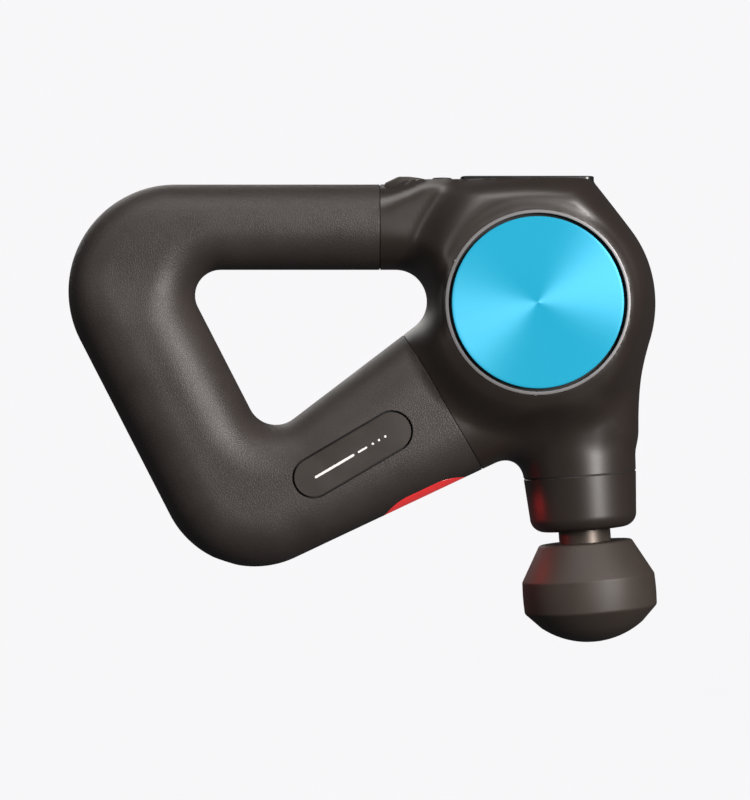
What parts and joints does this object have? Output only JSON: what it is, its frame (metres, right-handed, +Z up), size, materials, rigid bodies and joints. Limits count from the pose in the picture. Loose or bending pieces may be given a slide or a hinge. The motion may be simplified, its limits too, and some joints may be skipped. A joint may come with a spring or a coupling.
{
  "type": "massage gun",
  "caption": "Handheld percussion massager with a closed triangular loop handle, round side covers, a reciprocating shaft and a push-on domed attachment.",
  "frame": {"origin": "on the output shaft's axis, in the plane of the nose cap's mouth", "axes": "+X towards the front of the head, +Y across the handle to the side that holds the motor, +Z up along the head with the top bar level"},
  "size_m": [0.2497, 0.0744, 0.1971],
  "materials": {
    "soft_grip": "fine matt grain",
    "head_plastic": "satin",
    "frame_plastic": "moulded",
    "disc_metal": "spun, coloured",
    "ring_metal": "satin anodised",
    "plaque_plastic": "satin",
    "black_rubber": "matt",
    "screen_glass": "gloss",
    "light_lens": "diffusing, lit",
    "circuit_board": "solder mask",
    "led_white": "clear",
    "jack_plastic": "moulded",
    "guide_metal": "machined",
    "bush_bronze": "sintered",
    "motor_steel": "satin",
    "copper_wire": "enamelled",
    "bearing_steel": "ground",
    "screw_steel": "plated",
    "chip_black": "moulded",
    "cell_wrap": "shrink wrap",
    "nickel_strip": "bright",
    "red_lead": "sheath",
    "blue_lead": "sheath",
    "magnet_nickel": "plated",
    "shaft_metal": "bronze-grey anodised",
    "rod_alloy": "cast",
    "pad_foam": "fine matt closed-cell",
    "stick_rubber": "matt"
  },
  "bodies": {
    "housing": {"head_shell_left": "head_plastic", "head_shell_right": "head_plastic", "handle_frame_left": "frame_plastic", "handle_frame_right": "frame_plastic", "grip_sleeve_left": "soft_grip", "grip_sleeve_right": "soft_grip", "bezel_ring_left": "ring_metal", "bezel_ring_right": "ring_metal", "side_disc_left": "disc_metal", "side_disc_right": "disc_metal", "side_plaque_left": "plaque_plastic", "side_plaque_right": "plaque_plastic", "nose_cap": "head_plastic", "nose_gasket": "black_rubber", "mouth_seal": "black_rubber", "display_panel": "screen_glass", "display_module": "frame_plastic", "light_window": "light_lens", "light_board": "circuit_board", "light_leds": "led_white", "charging_jack": "jack_plastic", "guide_housing": "guide_metal", "guide_bush_lower": "bush_bronze", "guide_bush_upper": "bush_bronze", "motor_bracket": "guide_metal", "motor_can": "motor_steel", "stator_core": "motor_steel", "stator_coils": "copper_wire", "motor_bearing_front": "bearing_steel", "motor_bearing_rear": "bearing_steel", "motor_screws": "screw_steel", "bracket_grommets": "black_rubber", "bracket_screws": "screw_steel", "shell_screws": "screw_steel", "control_board": "circuit_board", "board_components": "chip_black", "board_screws": "screw_steel", "battery_cells_rear": "cell_wrap", "battery_cells_lower": "cell_wrap", "battery_cradle_rear": "frame_plastic", "battery_cradle_lower": "frame_plastic", "cell_straps": "nickel_strip", "battery_leads": "red_lead", "motor_leads": "blue_lead", "joystick_base": "frame_plastic"},
    "shaft": {"output_shaft": "shaft_metal", "wrist_pin": "bearing_steel", "detent_ring": "black_rubber"},
    "connecting_rod": {"connecting_rod": "rod_alloy", "rod_bearing": "bearing_steel", "crank_pin": "bearing_steel"},
    "rotor": {"rotor_core": "motor_steel", "rotor_magnets": "magnet_nickel", "motor_shaft": "bearing_steel", "eccentric": "motor_steel"},
    "attachment": {"attachment_core": "frame_plastic", "attachment_pad": "pad_foam"},
    "stick_gimbal": {"joystick_gimbal": "bearing_steel"},
    "stick_stem": {"joystick_stem": "bearing_steel"},
    "stick_cap": {"joystick_cap": "stick_rubber"}
  },
  "joints": [
    {"name": "shaft_stroke", "type": "slide", "parent": "housing", "child": "shaft", "axis": [0.0819, 0, -0.9966], "range_m": [0, 0.016]},
    {"name": "rotor_spin", "type": "hinge", "parent": "housing", "child": "rotor", "pos_m": [-0.00721, 0, 0.0877], "axis": [0, 1, 0], "range_deg": [-2, 182]},
    {"name": "connecting_rod_swing", "type": "hinge", "parent": "shaft", "child": "connecting_rod", "pos_m": [-0.00459, 0, 0.05581], "axis": [0, 1, 0], "range_deg": [-11.5, 11.5]},
    {"name": "attachment_pull", "type": "slide", "parent": "shaft", "child": "attachment", "axis": [0.0819, 0, -0.9966], "range_m": [0, 0.025]},
    {"name": "joystick_tilt_fore_aft", "type": "hinge", "parent": "housing", "child": "stick_gimbal", "pos_m": [-0.0604, 0, 0.1384], "axis": [0, 1, 0], "range_deg": [-4, 4], "stiffness_Nm_per_rad": 0.05},
    {"name": "joystick_tilt_side", "type": "hinge", "parent": "stick_gimbal", "child": "stick_stem", "pos_m": [-0.0604, 0, 0.1384], "axis": [1, 0, 0], "range_deg": [-4, 4], "stiffness_Nm_per_rad": 0.05},
    {"name": "joystick_press", "type": "slide", "parent": "stick_stem", "child": "stick_cap", "axis": [0, 0, -1], "range_m": [0, 0.0008], "stiffness_N_per_m": 300}
  ],
  "couplings": [
    {"joint": "rotor_spin", "follows": "shaft_stroke", "rad_per_m": 196.35}
  ]
}
